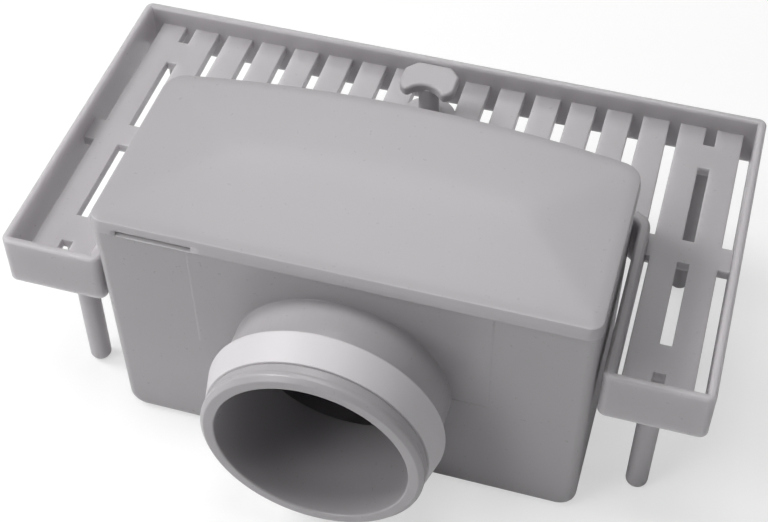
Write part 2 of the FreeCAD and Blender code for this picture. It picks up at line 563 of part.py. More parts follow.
peg_plan = new_sketch(frame, "peg_plan", "XY_Plane", out="floor_under")
for side in ("-peg_side", "peg_side"):
    for along in ("front_peg", "rear_peg"):
        circle(peg_plan, side, along, "peg_radius")
extrude(frame, "Pad", "pegs", peg_plan, "floor_under", reverse=True)
bevel_edges(frame, "peg_tips", lambda p, e: level(e, "zero"), "peg_bevel")
knob_hole = new_sketch(frame, "knob_hole", "XY_Plane", out="floor_under")
circle(knob_hole, "zero", "knob_distance", "stem_hole")
extrude(frame, "Pocket", "hole_for_knob", knob_hole, "floor_thickness", reverse=True)
joined = frame.newObject("PartDesign::Boolean", "floor_and_walls")
joined.Type = "Fuse"
joined.setObjects([walls])
frame.Tip = joined
doc.recompute()

# Trap box: a hollow block with a leaning front wall and a bowed back
box = new_body("trap_box")
box_plan = new_sketch(box, "box_plan", "XY_Plane")
outline(
    box_plan,
    ("-box_half", "-front_lean"), ("box_half", "-front_lean"), ("box_half", "box_corner_back", "box_bow"),
    ("-box_half", "box_corner_back"))
extrude(box, "Pad", "box_block", box_plan, "box_height")
lean = new_sketch(box, "front_wall_lean", "YZ_Plane")
outline(lean, ("-front_lean", "zero"), ("zero", "zero"), ("-front_lean", "box_height"))
extrude(box, "Pocket", "leaning_front_wall", lean, "box_width", both_ways=True)
round_edges(
    box, "lower_side_edges",
    lambda p, e: level(e, "zero") and near(e.BoundBox.XLength, 0), "foot_rounding")
round_edges(
    box, "front_face_edges",
    lambda p, e: near(abs(p.x), number("box_half")) and p.y < number("weir_front")
    and e.BoundBox.ZLength > number("outlet_height"), "front_rounding")
round_edges(
    box, "back_face_edges",
    lambda p, e: upright(e) and at_corner(p, "box_half", "box_corner_back"), "rear_rounding")
solid_box = box.Tip
faces = solid_box.Shape.Faces
open_top = max(range(len(faces)), key=lambda i: faces[i].CenterOfMass.z)
shell = box.newObject("PartDesign::Thickness", "hollow_box")
shell.Base = (solid_box, ["Face%d" % (open_top + 1)])
shell.setExpression("Value", bound("box_wall"))
shell.Reversed = True
shell.Mode = 0
shell.Join = 0
doc.recompute()

# Sunk panel, weir, open foot of the rear chamber and inlet
panel = new_sketch(box, "sunk_panel_side", "YZ_Plane")
outline(
    panel,
    ("-panel_cut", "panel_foot"), ("-panel_foot_face", "panel_foot"), ("-panel_top_face", "box_height"),
    ("-panel_cut", "box_height"))
extrude(box, "Pocket", "sunk_panel", panel, "panel_width", both_ways=True)
weir = new_sketch(box, "weir_plan", "XY_Plane")
rectangle(weir, "-weir_half", "weir_half", "weir_front", "weir_back")
extrude(box, "Pad", "weir_wall_across_the_box", weir, "weir_height")
open_foot = new_sketch(box, "open_foot_plan", "XY_Plane")
rectangle(open_foot, "-rear_chamber_half", "rear_chamber_half", "weir_back", "cavity_back")
extrude(box, "Pocket", "open_foot_of_rear_chamber", open_foot, "box_wall", reverse=True)
inlet = new_sketch(box, "inlet_outline", "XZ_Plane", out="-weir_back")
rectangle(inlet, "-inlet_half", "inlet_half", "zero", "inlet_height")
extrude(box, "Pocket", "inlet_under_back_wall", inlet, "box_side_depth")

# Outlet spigot: turned profile with mouth bead, neck and seal groove
spigot = new_sketch(box, "spigot_profile", "YZ_Plane", up="outlet_height")
outline(
    spigot,
    ("-outlet_reach", "bore_radius"), ("root_inside", "bore_radius"),
    ("root_inside", "outlet_radius"), ("-groove_back", "outlet_radius"),
    ("-groove_back", "groove_radius"), ("-groove_front", "groove_radius"),
    ("-groove_front", "neck_radius"), ("-bead_back", "neck_radius"),
    ("-bead_crest", "outlet_radius"), ("-outlet_reach", "outlet_radius"))
revolve(box, "outlet_spigot", spigot, "H_Axis")
bore = new_sketch(box, "bore_outline", "XZ_Plane")
circle(bore, "zero", "outlet_height", "bore_radius")
extrude(box, "Pocket", "bore_through_front_wall", bore, "front_cut", both_ways=True)
bevel_edges(
    box, "mouth_edge",
    lambda p, e: round_outlet(p, e, "outlet_reach", "outlet_diameter"), "mouth_bevel")

# Seal ring in the groove of the spigot
seal = new_body("seal_ring")
seal_profile = new_sketch(seal, "seal_profile", "YZ_Plane", up="outlet_height")
outline(
    seal_profile,
    ("-seal_front", "seal_bore"), ("-seal_back", "seal_bore"), ("-seal_back", "seal_radius"),
    ("-seal_front", "seal_front_radius"))
revolve(seal, "ring", seal_profile, "H_Axis")
bevel_edges(
    seal, "back_lip",
    lambda p, e: round_outlet(p, e, "seal_back", "seal_diameter"), "seal_bevel")

# Lid: plate with a flat border, hipped crown, locating skirt inside the box walls and a slot in
# the front edge to lever it off. The back slope of the crown is a shallow cone round the centre
# of the bowed back edge.
lid = new_body("trap_lid")
lid_plan = new_sketch(lid, "lid_plan", "XY_Plane", out="box_height")
outline(
    lid_plan,
    ("-lid_half", "-lid_front"), ("lid_half", "-lid_front"), ("lid_half", "lid_back", "lid_bow"),
    ("-lid_half", "lid_back"))
extrude(lid, "Pad", "lid_plate", lid_plan, "lid_edge")
round_edges(
    lid, "front_corners",
    lambda p, e: upright(e) and near(p.y, -number("lid_front")), "lid_front_corner")
round_edges(
    lid, "back_corners", lambda p, e: upright(e) and at_corner(p, "lid_half", "lid_back"), "lid_rear_corner")
round_edges(lid, "upper_edge", lambda p, e: level(e, "lid_top"), "lid_rounding")
crown_plan = new_sketch(lid, "crown_plan", "XY_Plane", out="lid_top")
outline(
    crown_plan,
    ("-crown_half", "crown_front"), ("crown_half", "crown_front"), ("crown_half", "crown_back", "crown_bow"),
    ("-crown_half", "crown_back"))
extrude(lid, "Pad", "crown_block", crown_plan, "crown_rise")
front_hip = new_sketch(lid, "front_hip", "YZ_Plane")
outline(front_hip, ("crown_front", "lid_top"), ("ridge_front", "crown_top"), ("crown_front", "crown_top"))
extrude(lid, "Pocket", "front_slope", front_hip, "lid_width", both_ways=True)
side_hips = new_sketch(lid, "side_hips", "XZ_Plane")
outline(side_hips, ("crown_half", "lid_top"), ("crown_half", "crown_top"), ("ridge_half", "crown_top"))
outline(side_hips, ("-crown_half", "lid_top"), ("-ridge_half", "crown_top"), ("-crown_half", "crown_top"))
extrude(lid, "Pocket", "side_slopes", side_hips, "side_slope_cut", both_ways=True)
back_hip = new_sketch(lid, "back_hip", "YZ_Plane", along="crown_bow_centre")
outline(back_hip, ("crown_bow", "lid_top"), ("crown_bow", "crown_top"), ("ridge_bow", "crown_top"))
revolve(lid, "back_slope", back_hip, "V_Axis", kind="Groove")
skirt = new_sketch(lid, "skirt_plan", "XY_Plane", out="skirt_foot")
outline(
    skirt,
    ("-skirt_half", "skirt_front"), ("skirt_half", "skirt_front"), ("skirt_half", "skirt_back", "skirt_bow"),
    ("-skirt_half", "skirt_back"))
outline(
    skirt,
    ("-skirt_in_half", "skirt_in_front"), ("skirt_in_half", "skirt_in_front"),
    ("skirt_in_half", "skirt_in_back", "skirt_in_bow"), ("-skirt_in_half", "skirt_in_back"))
extrude(lid, "Pad", "locating_skirt", skirt, "skirt_depth")
round_edges(
    lid, "skirt_back_corners",
    lambda p, e: upright(e) and at_corner(p, "skirt_half", "skirt_back"), "skirt_corner")

lever_slot = new_sketch(lid, "lever_slot_outline", "XZ_Plane", out="lid_front")
rectangle(lever_slot, "-lever_outer_end", "-lever_inner_end", "lever_foot", "lever_head")
extrude(lid, "Pocket", "lever_slot", lever_slot, "lever_depth")
bevel_edges(
    lid, "lever_slot_lip",
    lambda p, e: level(e, "lever_foot") and near(p.y, -number("lid_front")), "lever_bevel")

# Lifting knob: kidney-shaped head on a stem that snaps into the boss
knob = new_body("lifting_knob")
head_plan = new_sketch(knob, "head_plan", "XY_Plane", up="knob_distance", out="knob_under")
outline(
    head_plan,
    ("-knob_half", "-knob_front"), ("knob_half", "-knob_front"), ("knob_half", "knob_slant_front"),
    ("knob_back_half", "knob_back"), ("-knob_back_half", "knob_back"),
    ("-knob_half", "knob_slant_front"))
extrude(knob, "Pad", "head", head_plan, "knob_thickness")
round_edges(
    knob, "lobes", lambda p, e: upright(e) and at_corner(p, "knob_half", "knob_front_line"), "lobe_rounding")
bite = new_sketch(knob, "finger_bite_plan", "XY_Plane", up="knob_distance", out="knob_top")
circle(bite, "zero", "-bite_distance", "bite_radius")
extrude(knob, "Pocket", "finger_bite", bite, "knob_thickness")
round_edges(
    knob, "bite_corners",
    lambda p, e: upright(e) and near(p.y, number("knob_front_line")) and abs(p.x) < number("bite_radius"),
    "bite_rounding")
bevel_edges(knob, "head_edges", lambda p, e: level(e, "knob_top"), "knob_bevel")
stem_profile = new_sketch(knob, "stem_profile", "XZ_Plane", out="-knob_distance")
outline(
    stem_profile,
    ("zero", "foot_under"), ("foot_point", "foot_under"), ("foot_radius", "foot_top"),
    ("stem_radius", "foot_top"), ("stem_radius", "floor_top"), ("collar_radius", "floor_top"),
    ("collar_radius", "collar_top"), ("stem_radius", "collar_top"), ("stem_radius", "stem_top"),
    ("zero", "stem_top"))
revolve(knob, "stem", stem_profile, "V_Axis")
slit = new_sketch(knob, "slit_outline", "XZ_Plane", out="-knob_distance")
rectangle(slit, "-slit_half", "slit_half", "foot_under", "slit_top")
extrude(knob, "Pocket", "spring_slit", slit, "slit_cut", both_ways=True)

# Moving the mouldings to the origin, testing and writing them
mouldings = (frame, box, lid, seal, knob)
for body in mouldings:
    body.setExpression("Placement.Base.y", bound("-origin_setback"))
doc.recompute()
for item in doc.Objects:
    if "Invalid" in item.State or "Error" in item.State:
        raise RuntimeError("%s did not build: %s" % (item.Name, item.State))
for body in mouldings:
    shape = body.Shape
    if shape.isNull() or not shape.isValid() or len(shape.Solids) != 1:
        raise RuntimeError("%s is not one sound solid" % body.Label)
    shape.exportStep("parts/%s.step" % body.Label)
    print(body.Label, round(shape.Volume), "mm3", len(shape.Faces), "faces")
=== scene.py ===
import math

import bmesh
import bpy
from mathutils import Matrix, Vector
from mathutils.geometry import delaunay_2d_cdt


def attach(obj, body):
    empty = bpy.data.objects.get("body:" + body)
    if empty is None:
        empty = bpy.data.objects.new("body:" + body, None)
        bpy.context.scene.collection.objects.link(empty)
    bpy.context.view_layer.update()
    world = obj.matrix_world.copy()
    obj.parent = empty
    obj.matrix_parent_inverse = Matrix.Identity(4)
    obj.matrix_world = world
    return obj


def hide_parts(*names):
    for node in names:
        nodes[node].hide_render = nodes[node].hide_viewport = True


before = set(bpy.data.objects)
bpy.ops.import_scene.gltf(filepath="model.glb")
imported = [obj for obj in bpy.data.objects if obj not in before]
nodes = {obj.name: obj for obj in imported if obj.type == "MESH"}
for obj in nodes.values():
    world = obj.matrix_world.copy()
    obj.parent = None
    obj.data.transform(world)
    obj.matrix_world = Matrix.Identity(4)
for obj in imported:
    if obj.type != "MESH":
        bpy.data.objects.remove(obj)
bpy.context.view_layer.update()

MM = 0.001


# Materials
CLOUD_SCALE = 28
SPECK_SCALE = 900
GRAIN_SCALE = 2200
TINT = 0.03  # clouding, lighter and darker than the colour by this share
GLOSS_SPREAD = 0.06
GRAIN_STRENGTH = 0.12
GRAIN_DEPTH = 0.06 * MM


def mix_colours(tree, share, first, second):
    """Mix node between two colours; its sockets 6, 7 and the output 2 are the ones for colours."""
    node = tree.nodes.new("ShaderNodeMix")
    node.data_type = "RGBA"
    node.inputs[6].default_value = (*first, 1)
    node.inputs[7].default_value = (*second, 1)
    tree.links.new(share, node.inputs[0])
    return node.outputs[2]


def map_range(tree, source, low, high):
    node = tree.nodes.new("ShaderNodeMapRange")
    node.inputs["To Min"].default_value = low
    node.inputs["To Max"].default_value = high
    tree.links.new(source, node.inputs["Value"])
    return node.outputs["Result"]


def plastic(name, colour, rough=0.3, scatter=0.3, reach=2 * MM):
    """Matt moulded plastic: fine grain in the bump, faint clouding in colour and roughness."""
    mat = bpy.data.materials.new(name)
    mat.use_nodes = True
    tree = mat.node_tree
    shader = tree.nodes["Principled BSDF"]
    place = tree.nodes.new("ShaderNodeTexCoord")

    def noise(scale, detail):
        node = tree.nodes.new("ShaderNodeTexNoise")
        node.inputs["Scale"].default_value = scale
        node.inputs["Detail"].default_value = detail
        tree.links.new(place.outputs["Object"], node.inputs["Vector"])
        return node.outputs["Fac"]

    shader.inputs["Subsurface Weight"].default_value = scatter
    shader.inputs["Subsurface Radius"].default_value = (1, 1, 1)
    shader.inputs["Subsurface Scale"].default_value = reach
    darker = [c * (1 - TINT) for c in colour]
    lighter = [c * (1 + TINT) for c in colour]
    clouds = mix_colours(tree, noise(CLOUD_SCALE, 3), darker, lighter)
    tree.links.new(clouds, shader.inputs["Base Color"])
    specks = map_range(tree, noise(SPECK_SCALE, 2), rough - GLOSS_SPREAD, rough + GLOSS_SPREAD)
    tree.links.new(specks, shader.inputs["Roughness"])
    bump = tree.nodes.new("ShaderNodeBump")
    bump.inputs["Strength"].default_value = GRAIN_STRENGTH
    bump.inputs["Distance"].default_value = GRAIN_DEPTH
    tree.links.new(noise(GRAIN_SCALE, 2), bump.inputs["Height"])
    tree.links.new(bump.outputs["Normal"], shader.inputs["Normal"])
    return mat


grey = plastic("grey_plastic", (0.45, 0.434, 0.45))
frame_grey = plastic("frame_grey_plastic", (0.455, 0.439, 0.455), scatter=1.0, reach=6 * MM)
box_grey = plastic("box_grey_plastic", (0.42, 0.405, 0.42))
rubber = plastic("white_rubber", (0.65, 0.63, 0.65), rough=0.5)


# Pieces with the CAD surfaces; all lengths from here on in mm
SHARP = math.radians(25)  # an edge between faces that turn by more is rounded
FLAT = math.radians(0.25)
WELD = 0.002
BEVEL_SEGMENTS = 3
CLOSE = 0.1  # how near a point has to lie to a place that is looked for

BOX_HEIGHT = 65.2
BOX_FRONT = -16
FRONT_LEAN = 2.4  # top of the front face before its foot
SPIGOT_HEIGHT = 33
PANEL_DEPTH = 0.35  # in the solid
PANEL_NEAR = 0.03  # how near a point has to lie to the panel's plane
FRONT_NEAR = 0.2  # and to the front face or the panel
PANEL_HALF = 33.5
PANEL_STEP = 0.12  # in the scene, proud at the left edge and sunk at the right one
PANEL_SLOPE = 0.4
WEIR_FRONT = 14.0
WEIR_BACK = 15.8
WEIR_CORNER = 54.0
FOOT_START = 50.6  # half the flat underside of the box, up to its rounded foot
CORNER_TOP = 1.7  # the weir's corners stand out of the foot below this height

FRAME_PARTS = (2, 38, 49)  # heights between peg tips, foot of the outer wall, slots and rim
SIDE_WALL = 58.6  # outer side of the frame's walls beside the box
SIDE_WALL_BACK = 32
OPENING_CORNER = (52.8, 55.8)  # where the rounded corner of the opening starts and ends
OPENING_SHIFT = 0.5

# Roundings of the edges
PEG_TIP = 0.62
FRAME_FOOT = 0.45
FRAME_RIM = 0.3
SLOTS = 0.22
SPIGOT_MOUTH = 0.4
SPIGOT_BEAD = 0.22
SPIGOT_BODY = 0.12
PANEL_LINE = 0.05
BOX_EDGE = 0.2
RING_FRONT = 0.1
RING_BACK = 0.25


def place_piece(name, mesh, node, material):
    """Puts a finished mesh on the object's body, in the place of a CAD node."""
    piece = bpy.data.objects.new(name, mesh)
    bpy.context.scene.collection.objects.link(piece)
    mesh.materials.clear()
    mesh.materials.append(material)
    for polygon in mesh.polygons:
        polygon.use_smooth = True
    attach(piece, "root")
    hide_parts(node)
    return piece


def plain_faces(node):
    """The node's own surface, its flat faces whole again."""
    work = bmesh.new()
    work.from_mesh(nodes[node].data)
    bmesh.ops.remove_doubles(work, verts=work.verts, dist=WELD * MM)
    bmesh.ops.dissolve_limit(work, angle_limit=FLAT, verts=work.verts, edges=work.edges)
    return work


def mesh_from(work, name):
    mesh = bpy.data.meshes.new(name)
    work.to_mesh(mesh)
    work.free()
    return mesh


def weigh_edges(work, width_at, widest):
    """Marks the sharp edges with the rounding that width_at gives, as a share of the widest."""
    weight = work.edges.layers.float.new("bevel_weight_edge")
    for edge in work.edges:
        if len(edge.link_faces) == 2 and edge.calc_face_angle() > SHARP:
            a, b = (v.co / MM for v in edge.verts)
            edge[weight] = min(1.0, width_at((a + b) / 2) / widest)


def round_weighed_edges(piece, widest):
    bevel = piece.modifiers.new("rounded_edges", "BEVEL")
    bevel.limit_method = "WEIGHT"
    bevel.width = widest * MM
    bevel.segments = BEVEL_SEGMENTS
    bevel.use_clamp_overlap = False
    piece.modifiers.new("even_shading", "WEIGHTED_NORMAL").keep_sharp = True


def soften(name, node, material, width_at, widest, change=None):
    """The node's own surface, its sharp edges rounded by the widths that width_at gives."""
    work = plain_faces(node)
    if change:
        change(work)
    weigh_edges(work, width_at, widest)
    mesh = mesh_from(work, name)
    round_weighed_edges(place_piece(name, mesh, node, material), widest)


def wide_opening(work):
    """Stands the walls beside the box a little further off it, as they show."""
    start, end = OPENING_CORNER
    for vertex in work.verts:
        p = vertex.co / MM
        if abs(p.x) < SIDE_WALL and p.y < SIDE_WALL_BACK:
            share = max(0.0, min(1.0, (abs(p.x) - start) / (end - start)))
            vertex.co.x += math.copysign(OPENING_SHIFT * share * MM, p.x)


def rounded_weir_foot(work):
    """Ends the weir at the box's rounded foot, out of which the solid's square corners stand."""
    for side in (-1, 1):
        near = {}
        for vertex in work.verts:
            p = vertex.co / MM
            out = side * p.x
            if (out > FOOT_START - CLOSE and p.z < CORNER_TOP
                    and WEIR_FRONT - CLOSE < p.y < WEIR_BACK + CLOSE):
                near[vertex] = out
        low = {v: out for v, out in near.items() if v.co.z < CLOSE * MM}
        starts = [v for v, out in low.items() if out < FOOT_START + CLOSE]
        corners = [v for v, out in low.items() if out > WEIR_CORNER - CLOSE]
        bmesh.ops.weld_verts(work, targetmap={
            corner: min(starts, key=lambda v: abs(v.co.y - corner.co.y)) for corner in corners})
        foot = {v for v in near if v.is_valid}
        flat = [face for face in work.faces if foot.issuperset(face.verts)]
        bmesh.ops.delete(work, geom=flat, context="FACES")
        middle = (WEIR_FRONT + WEIR_BACK) / 2 * MM
        front, back = (sorted((v for v in foot if (v.co.y > middle) == behind),
                              key=lambda v: v.co.z) for behind in (False, True))
        for quad in zip(front, front[1:], back[1:], back):
            work.faces.new(quad)
    bmesh.ops.recalc_face_normals(work, faces=work.faces)


def panel_depth(p):
    """Depth of a point under the leaning front face of the box."""
    return p.y - BOX_FRONT + FRONT_LEAN * p.z / BOX_HEIGHT


def shallow_panel(work):
    """Brings the sunk panel of the box front out to the faint outline that shows."""
    moved = set()
    for vertex in work.verts:
        p = vertex.co / MM
        if (p.z > SPIGOT_HEIGHT - CLOSE and abs(p.x) < PANEL_HALF + CLOSE
                and abs(panel_depth(p) - PANEL_DEPTH) < PANEL_NEAR):
            vertex.co.y += (PANEL_STEP * p.x / PANEL_HALF - PANEL_DEPTH) * MM
            if abs(p.x) > PANEL_HALF - CLOSE:
                vertex.co.x -= math.copysign(PANEL_SLOPE * MM, p.x)
            moved.add(vertex)
    for vertex in moved:
        for edge in vertex.link_edges:
            edge.smooth = False
        for face in vertex.link_faces:
            for edge in face.edges:
                if all(abs(panel_depth(v.co / MM)) < FRONT_NEAR for v in edge.verts):
                    edge.smooth = False


def box_shape(work):
    rounded_weir_foot(work)
    shallow_panel(work)


def frame_edges(p):
    """Rounding of the grate frame's edges, by their height."""
    for height, width in zip(FRAME_PARTS, (PEG_TIP, FRAME_FOOT, SLOTS)):
        if p.z < height:
            return width
    return FRAME_RIM


def box_edges(p):
    """Rounding of the box's edges; none where the weir's foot meets the rounded box floor."""
    out = math.hypot(p.x, p.z - SPIGOT_HEIGHT)
    if p.z < 5 and WEIR_FRONT - 1 < p.y < WEIR_BACK + 1:
        return 0.0
    if p.y < -38 and out > 23:  # the bead, outside
        return SPIGOT_BEAD
    if p.y < -39:  # the mouth, inside
        return SPIGOT_MOUTH
    if p.y < -18.5 and out < 26:
        return SPIGOT_BODY
    beside = abs(abs(p.x) - PANEL_HALF) < CLOSE
    below = abs(p.z - SPIGOT_HEIGHT) < CLOSE and out > 26
    if p.y < -15 and p.z > 32 and (beside or below):
        return PANEL_LINE
    return BOX_EDGE


def ring_edges(p):
    """Rounding of the seal ring's edges; the front one is the sharper."""
    return RING_FRONT if p.y < -35.5 else RING_BACK


soften("dressed_frame", "grate_frame", frame_grey, frame_edges, PEG_TIP,
       wide_opening)
soften("dressed_box", "trap_box", box_grey, box_edges, SPIGOT_MOUTH, box_shape)
soften("dressed_ring", "seal_ring", rubber, ring_edges, RING_BACK)


# Knob; its outline is measured from the middle of its stem
KNOB_Y = 55.5
KNOB_UNDER = 55.6
KNOB_TOP = 58.0
STEM_CUT = 55.2
STEM_TOP = 56.3
BITE = (0, -6.8)
BITE_RADIUS = 4.5
BITE_ROUNDING = 1.1
LOBE = (3.6, -1.8)
LOBE_RADIUS = 3.2
SIDE_CORNER = (5.2, 1.987)
BACK_CORNER = (3.486, 3.9)
CORNER_RADIUS = 1.6
CORNER_TURN = 41.9
UNDER_ROUNDING = 0.35
UPPER_ROUNDING = 0.75
UNDER_INSET = 0.6
UPPER_INSET = 0.85
COLLAR_EDGE = 0.12
STEM_EDGE = 0.25


def touching_circle(first, first_distance, second, second_distance):
    """Centre of a circle at these distances from two points, right of the line between them."""
    apart = math.dist(first, second)
    along = (first_distance ** 2 - second_distance ** 2 + apart ** 2) / (2 * apart)
    off = math.sqrt(first_distance ** 2 - along ** 2)
    ux, uy = (second[0] - first[0]) / apart, (second[1] - first[1]) / apart
    return first[0] + along * ux + off * uy, first[1] + along * uy - off * ux


def head_outline():
    """Outline of the knob head round its stem, as points and outward normals."""
    corner = touching_circle(
        BITE, BITE_RADIUS + BITE_ROUNDING, LOBE, LOBE_RADIUS - BITE_ROUNDING)
    bite_end = math.degrees(math.atan2(corner[1] - BITE[1], corner[0] - BITE[0]))
    lobe_start = math.degrees(math.atan2(corner[1] - LOBE[1], corner[0] - LOBE[0]))
    arcs = (  # centre, radius, first and last angle, steps, side of the centre
        (BITE, BITE_RADIUS, 90, bite_end, 9, -1),
        (corner, BITE_ROUNDING, 180 + bite_end, 360 + lobe_start, 6, 1),
        (LOBE, LOBE_RADIUS, lobe_start, 0, 9, 1),
        (SIDE_CORNER, CORNER_RADIUS, 0, CORNER_TURN, 5, 1),
        (BACK_CORNER, CORNER_RADIUS, CORNER_TURN, 90, 5, 1))
    half = []
    for (x, y), radius, first, last, steps, side in arcs:
        for k in range(steps + 1):
            t = math.radians(first + (last - first) * k / steps)
            half.append(((x + radius * math.cos(t), y + radius * math.sin(t)),
                         (side * math.cos(t), side * math.sin(t))))
    mirrored = [((-p[0], p[1]), (-n[0], n[1])) for p, n in reversed(half[1:])]
    return half + mirrored


def quarter_turn(steps):
    return [math.pi / 2 * k / steps for k in range(steps + 1)]


def make_knob():
    """The CAD stem, with a head whose edges are fully rounded."""
    work = plain_faces("lifting_knob")
    bmesh.ops.bisect_plane(
        work, geom=work.verts[:] + work.edges[:] + work.faces[:],
        plane_co=(0, 0, STEM_CUT * MM), plane_no=(0, 0, 1), clear_outer=True)
    rim = [edge for edge in work.edges if len(edge.link_faces) == 1]
    raised = bmesh.ops.extrude_edge_only(work, edges=rim)["geom"]
    for vertex in (item for item in raised if isinstance(item, bmesh.types.BMVert)):
        vertex.co.z = STEM_TOP * MM
    bmesh.ops.holes_fill(work, edges=[e for e in work.edges if len(e.link_faces) == 1])
    weigh_edges(work, lambda p: STEM_EDGE if p.z > KNOB_UNDER else COLLAR_EDGE, STEM_EDGE)
    profile = [(UNDER_INSET, KNOB_UNDER)]
    profile += [(UNDER_ROUNDING * (1 - math.sin(t)),
                 KNOB_UNDER + UNDER_ROUNDING * (1 - math.cos(t))) for t in quarter_turn(4)]
    profile += [(UPPER_ROUNDING * (1 - math.cos(t)),
                 KNOB_TOP - UPPER_ROUNDING * (1 - math.sin(t))) for t in quarter_turn(7)]
    profile += [(UPPER_INSET, KNOB_TOP)]
    outline = head_outline()
    rings = []
    for inset, height in profile:
        rings.append([work.verts.new((
            (p[0] - n[0] * inset) * MM, (KNOB_Y + p[1] - n[1] * inset) * MM, height * MM))
            for p, n in outline])
    work.faces.new(list(reversed(rings[0])))
    work.faces.new(rings[-1])
    for low, high in zip(rings, rings[1:]):
        for i in range(len(outline)):
            work.faces.new((low[i - 1], low[i], high[i], high[i - 1]))
    bmesh.ops.remove_doubles(work, verts=work.verts, dist=0.005 * MM)
    bmesh.ops.recalc_face_normals(work, faces=work.faces)
    mesh = mesh_from(work, "dressed_knob")
    piece = place_piece("dressed_knob", mesh, "lifting_knob", grey)
    round_weighed_edges(piece, STEM_EDGE)


make_knob()


# Lid; an inset is measured inwards from its widest outline
LID_HALF = 55.35
LID_FRONT = -19.45
LID_BACK = 29.35
LID_BOW = 5.2
LID_SEAT = BOX_HEIGHT
LID_TOP = 68.4
FRONT_RADIUS = 3.6
BACK_RADIUS = 5.6
LEAST_FRONT_RADIUS = 0.6
LEAST_BACK_RADIUS = 1.2
CROWN_RISE = 1.4
CROWN_BORDER = 3.45
CROWN_RUNS = (18.6, 22.0, 20.0)  # length of the slopes at the sides, front and back
CROWN_BLEND = 0.05
CROWN_STEP = 1.25  # grid of points on the crown
CROWN_COLUMNS = 44
CROWN_GAP = 0.7  # least room between the grid and the crown's edge
CROWN_CORNER_GAP = 2.4
SLOPE_DEPTH = 0.97
STEEP_SHARE = 0.4
SKIRT = ((4.8, LID_SEAT), (4.8, 63.2), (4.6, 63.0), (3.4, 63.0), (3.2, 63.2), (3.2, LID_SEAT),
         (0.07, LID_SEAT))
SIDE_RADIUS = 5.9
SIDE_TILTS = (3.0, 30.0, 80.0)  # lean of the side at its foot, at its edge and at the border
SIDE_ROUNDING = 0.3
SIDE_LEVELS = (65.25, 65.4, 65.9, 66.4, 66.8, 67.2, 67.55, 67.89)
BORDER = ((1.45, 68.14), (2.05, 68.24), (2.75, 68.333), (CROWN_BORDER, LID_TOP))
LEVER_SLOT = (-48.6, -31.6)
LEVER_LEVELS = (65.25, 66.8)
LEVER_CUT = ((0.12, 65.3), (4.4, 65.3), (4.4, 66.3), (0.47, 66.3), (0.33, 66.4))
LEVER_STEPS = 8
LEVER_TAIL = 14  # steps from the slot to the middle of the front edge
BOW_RADIUS = (LID_HALF ** 2 + LID_BOW ** 2) / (2 * LID_BOW)
BOW_CENTRE = LID_BACK + LID_BOW - BOW_RADIUS


def side_inset(inset):
    """How far the sides and back go in where the front does by inset; they stand steeper."""
    return STEEP_SHARE * min(inset, SLOPE_DEPTH) + max(0.0, inset - SLOPE_DEPTH)


def lid_outline(inset):
    """The lid's outline moved inwards, as points from the middle of the front edge round to it."""
    side = side_inset(inset)
    half, front, bow = LID_HALF - side, LID_FRONT + inset, BOW_RADIUS - side
    near = max(LEAST_FRONT_RADIUS, FRONT_RADIUS - inset)
    far = max(LEAST_BACK_RADIUS, BACK_RADIUS - side)
    points = []

    def line(start, end, count):
        for i in range(count):
            points.append((start[0] + (end[0] - start[0]) * i / count,
                           start[1] + (end[1] - start[1]) * i / count))

    def arc(centre, radius, start, end, count):
        for i in range(count):
            t = start + (end - start) * i / count
            points.append((centre[0] + radius * math.cos(t), centre[1] + radius * math.sin(t)))

    far_y = BOW_CENTRE + math.sqrt((bow - far) ** 2 - (half - far) ** 2)
    lean = math.atan2(far_y - BOW_CENTRE, half - far)
    line((0, front), (half - near, front), 24)
    arc((half - near, front + near), near, -math.pi / 2, 0, 10)
    line((half, front + near), (half, far_y), 24)
    arc((half - far, far_y), far, 0, lean, 12)
    arc((0, BOW_CENTRE), bow, lean, math.pi - lean, 60)
    arc((far - half, far_y), far, math.pi - lean, math.pi, 12)
    line((-half, far_y), (-half, front + near), 24)
    arc((near - half, front + near), near, math.pi, 1.5 * math.pi, 10)
    line((near - half, front), (LEVER_SLOT[0], front), 2)
    line((LEVER_SLOT[0], front), (LEVER_SLOT[1], front), LEVER_STEPS)
    line((LEVER_SLOT[1], front), (0, front), LEVER_TAIL)
    return points


def soft_least(values, softness):
    """A smooth least of several values, so that neighbouring slopes run into each other."""
    least = min(values)
    return least - softness * math.log(sum(math.exp(-(v - least) / softness) for v in values))


def crown_room(x, y):
    """How far a point lies inside the crown's edges: at the side, the front and the back."""
    side = side_inset(CROWN_BORDER)
    return (LID_HALF - side - abs(x), y - LID_FRONT - CROWN_BORDER,
            BOW_RADIUS - side - math.hypot(x, y - BOW_CENTRE))


def crown_height(x, y):
    """Height of the hipped crown over the lid's border."""
    slopes = [room / run for room, run in zip(crown_room(x, y), CROWN_RUNS)]
    return CROWN_RISE * max(0.0, soft_least((*slopes, 1.0), CROWN_BLEND))


def lid_side():
    """Inset and height up the lid's side, which bulges a little and turns over to the border."""
    foot, edge, border = (math.radians(t) for t in SIDE_TILTS)
    side = []
    for height in SIDE_LEVELS:
        tilt = math.asin(math.sin(foot) + (height - SIDE_LEVELS[0]) / SIDE_RADIUS)
        side.append((SIDE_RADIUS * (math.cos(foot) - math.cos(tilt)), height))
    inset, height = side[-1]
    for i in range(1, 6):
        tilt = edge + (border - edge) * i / 5
        side.append((inset + SIDE_ROUNDING * (math.cos(edge) - math.cos(tilt)),
                     height + SIDE_ROUNDING * (math.sin(tilt) - math.sin(edge))))
    return side


